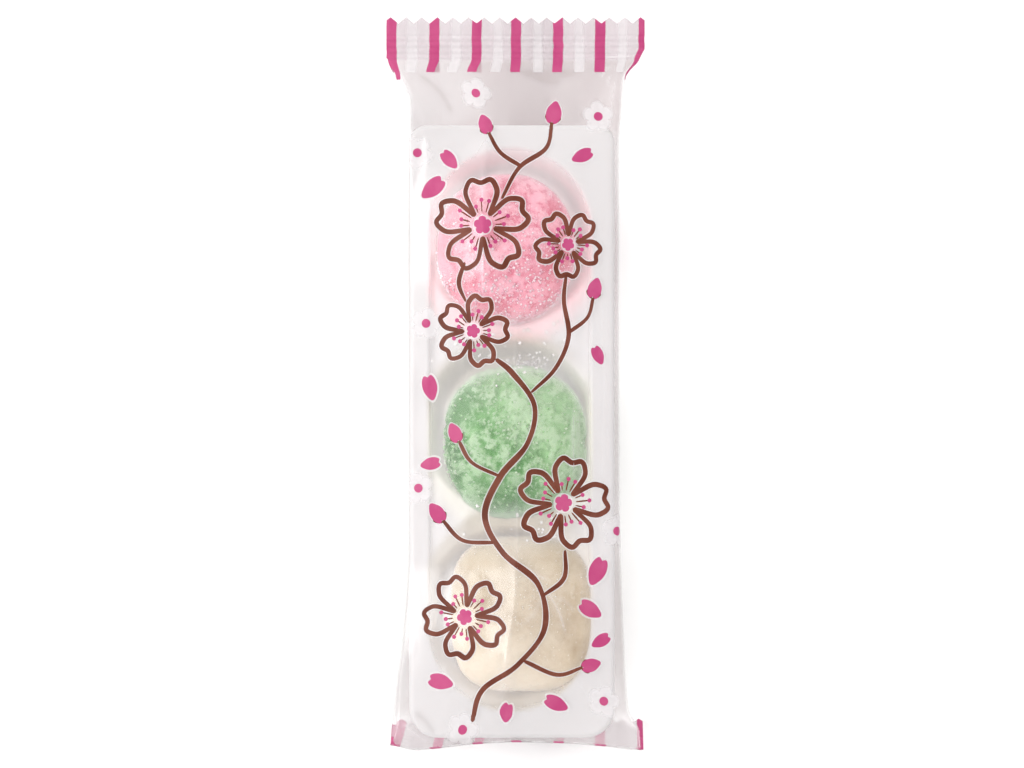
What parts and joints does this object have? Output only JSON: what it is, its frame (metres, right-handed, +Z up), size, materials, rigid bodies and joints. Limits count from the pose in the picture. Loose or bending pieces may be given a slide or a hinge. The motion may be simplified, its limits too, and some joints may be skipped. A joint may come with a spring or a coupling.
{
  "type": "flow-wrapped pack of sugared dango in a tray",
  "caption": "Clear flow-wrapped sweet pack with zigzag-cut end fins, one folded under, holding round sugar-dusted dango in a white thermoformed tray.",
  "frame": {"origin": "on the surface that the pack lies on, under the middle of its box", "axes": "+Y along the pack towards the fin that stands out, +Z up to its printed front, +X to the right of the front"},
  "size_m": [0.044, 0.125, 0.0139],
  "materials": {
    "film": "satin",
    "tray": "satin",
    "dango_pink": "matte",
    "dango_green": "matte",
    "dango_cream": "matte",
    "sugar": "gloss",
    "ink_magenta": "satin",
    "ink_brown": "satin",
    "ink_white": "satin"
  },
  "bodies": {
    "root": {"flow_pack": "film"}
  },
  "joints": []
}
